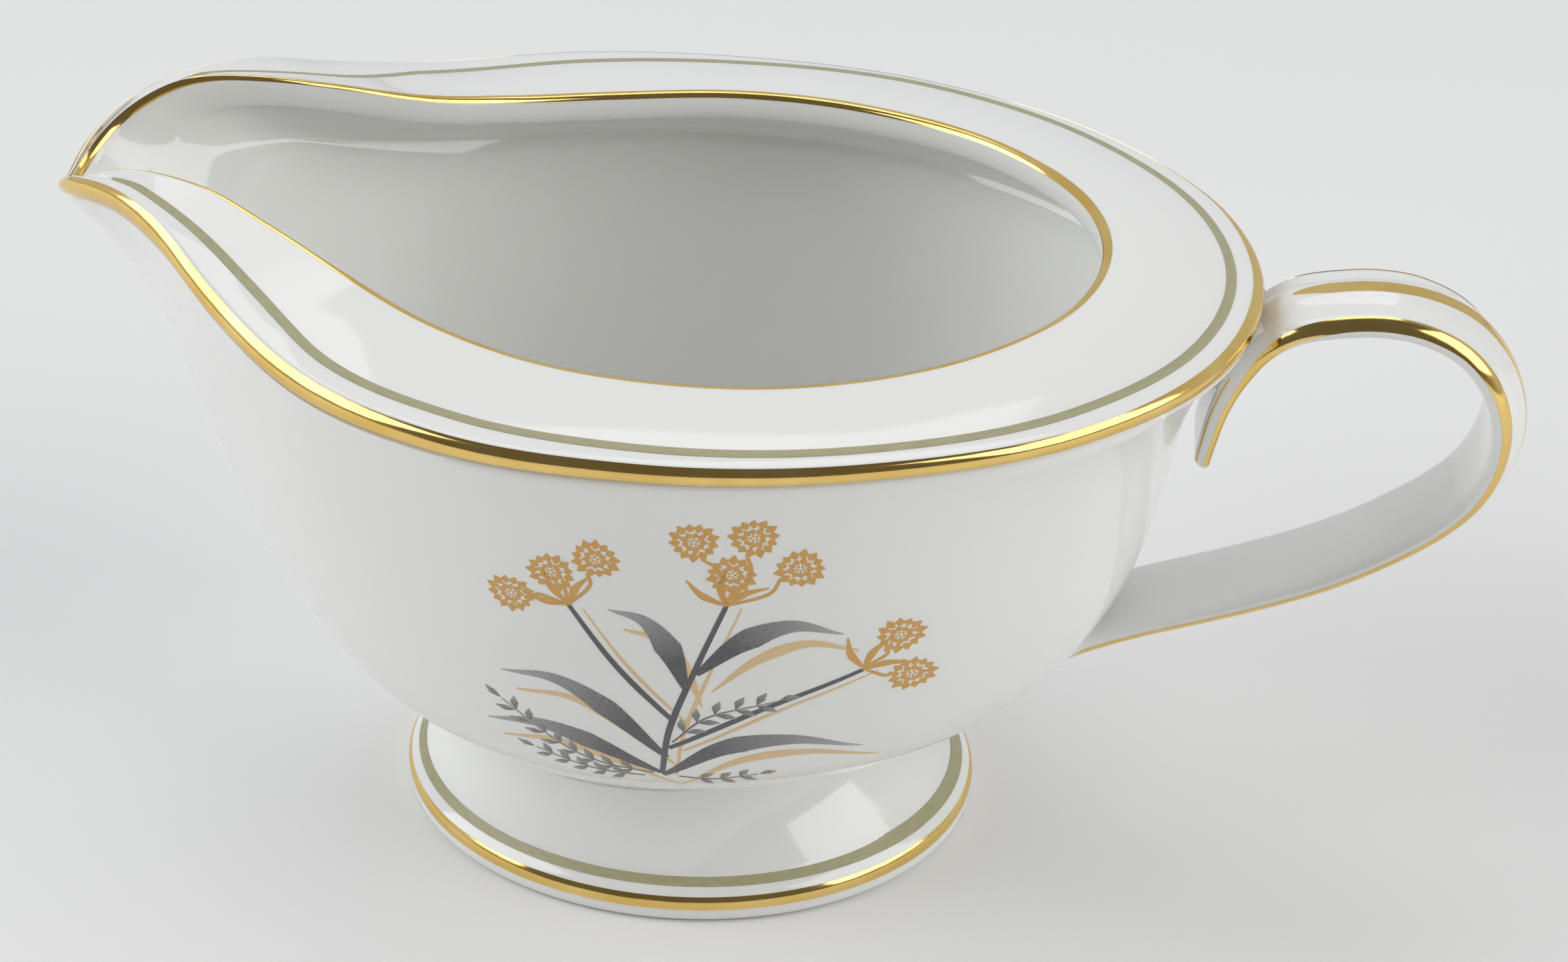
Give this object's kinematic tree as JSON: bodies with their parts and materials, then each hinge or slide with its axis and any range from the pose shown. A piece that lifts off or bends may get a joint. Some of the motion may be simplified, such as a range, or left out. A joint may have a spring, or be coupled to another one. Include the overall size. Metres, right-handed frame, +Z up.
{
  "type": "porcelain cream jug",
  "caption": "Boat-shaped porcelain cream jug with a broad collar, long spout, flared foot and ridged strap handle, with gilt edges and a printed spray.",
  "frame": {"origin": "centre of the overall length and width, on the table plane under the foot", "axes": "+Z up, +X towards the handle, -X towards the spout, -Y the side with the printed spray"},
  "size_m": [0.1584, 0.0918, 0.0812],
  "materials": {
    "porcelain_glaze": "clear glossy glaze over white porcelain",
    "slip": "fired slip",
    "bright_gold": "fired bright gold",
    "olive_enamel": "satin on-glaze enamel",
    "ochre_enamel": "matte gold-ochre enamel",
    "charcoal_enamel": "satin on-glaze enamel"
  },
  "bodies": {
    "root": {"body_casting": "porcelain_glaze", "foot_casting": "porcelain_glaze", "foot_slip_joint": "slip", "gilt_foot_edge": "bright_gold", "gilt_handle_far_edge": "bright_gold", "gilt_handle_near_edge": "bright_gold", "gilt_handle_stripe": "bright_gold", "gilt_rim_crest": "bright_gold", "gilt_rim_edge": "bright_gold", "handle_casting": "porcelain_glaze", "handle_lower_slip_joint": "slip", "handle_upper_slip_joint": "slip", "olive_collar_band": "olive_enamel", "olive_foot_band": "olive_enamel", "print_bloom_1": "ochre_enamel", "print_bloom_2": "ochre_enamel", "print_bloom_3": "ochre_enamel", "print_bloom_4": "ochre_enamel", "print_bloom_5": "ochre_enamel", "print_bloom_6": "ochre_enamel", "print_bloom_7": "ochre_enamel", "print_bloom_8": "ochre_enamel", "print_bloom_9": "ochre_enamel", "print_leaf_low_left": "charcoal_enamel", "print_leaf_low_right": "charcoal_enamel", "print_leaf_mid_left": "charcoal_enamel", "print_leaf_mid_right": "charcoal_enamel", "print_leaf_outer_left": "charcoal_enamel", "print_stem_left": "charcoal_enamel", "print_stem_main": "charcoal_enamel", "print_stem_right": "charcoal_enamel"}
  },
  "joints": []
}
